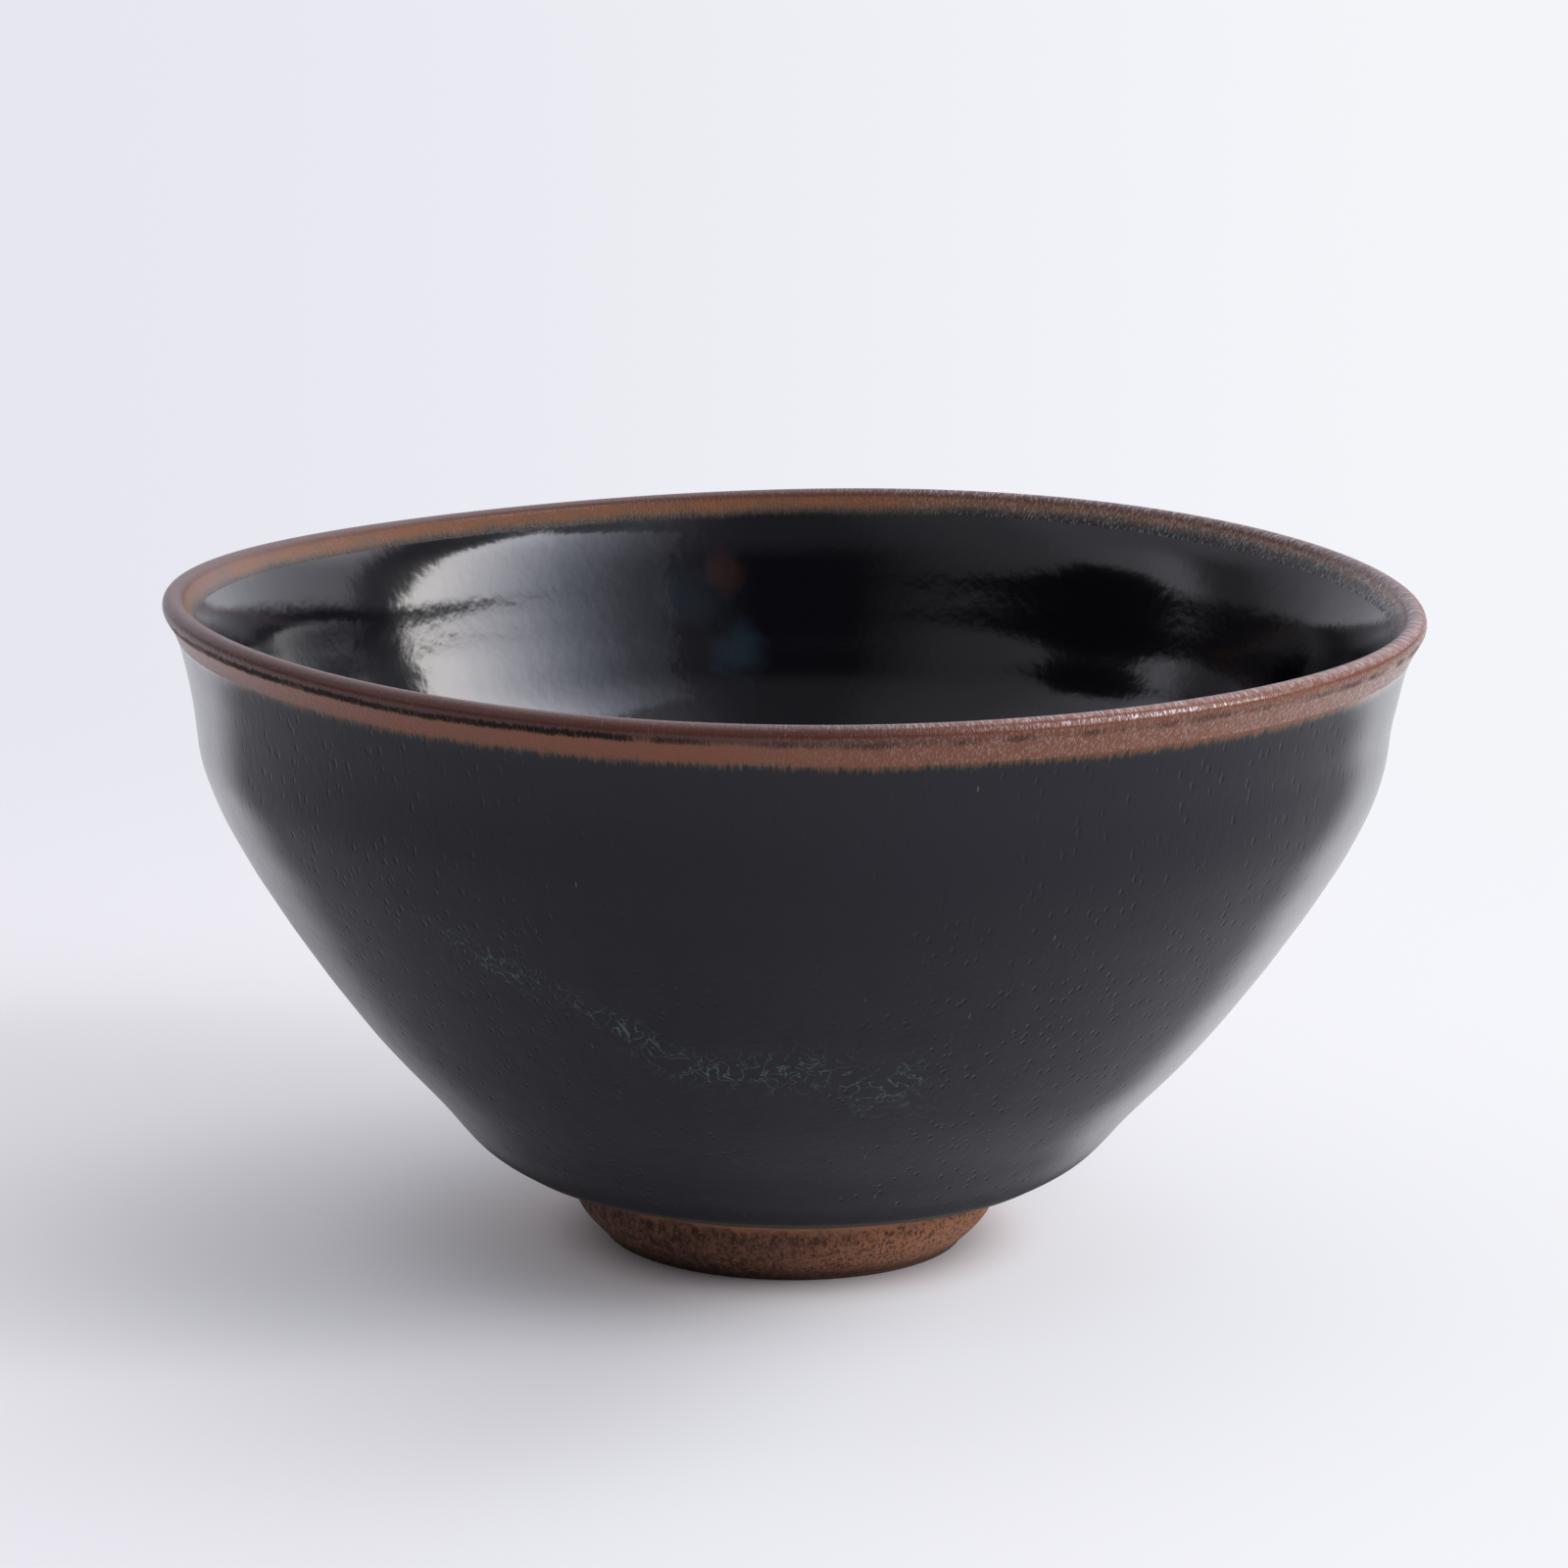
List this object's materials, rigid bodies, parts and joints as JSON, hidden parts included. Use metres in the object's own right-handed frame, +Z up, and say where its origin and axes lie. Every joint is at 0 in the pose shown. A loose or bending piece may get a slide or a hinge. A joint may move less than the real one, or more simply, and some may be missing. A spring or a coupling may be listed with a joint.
{
  "type": "tenmoku tea bowl",
  "caption": "Footed stoneware tea bowl with a flared lip, black glaze inside and out, a rust-brown glazed lip and a bare clay foot ring, for drinking tea.",
  "frame": {"origin": "middle of the plane that the foot ring rests on, on the bowl's axis", "axes": "+Z up along the bowl's axis; X and Y lie in the resting plane, with -Y towards the side seen in the picture"},
  "size_m": [0.125, 0.125, 0.0663],
  "materials": {
    "bare_clay": "unglazed iron-bearing stoneware, dry and slightly speckled",
    "satin_black_glaze": "satin black glaze with fine pits and a faint blue-green bloom",
    "glossy_black_glaze": "mirror-glossy black glaze",
    "rust_brown_glaze": "thin rust-brown glaze, satin"
  },
  "bodies": {
    "root": {"clay_body": "bare_clay", "outside_glaze": "satin_black_glaze", "inside_glaze": "glossy_black_glaze", "lip_glaze": "rust_brown_glaze"}
  },
  "joints": []
}
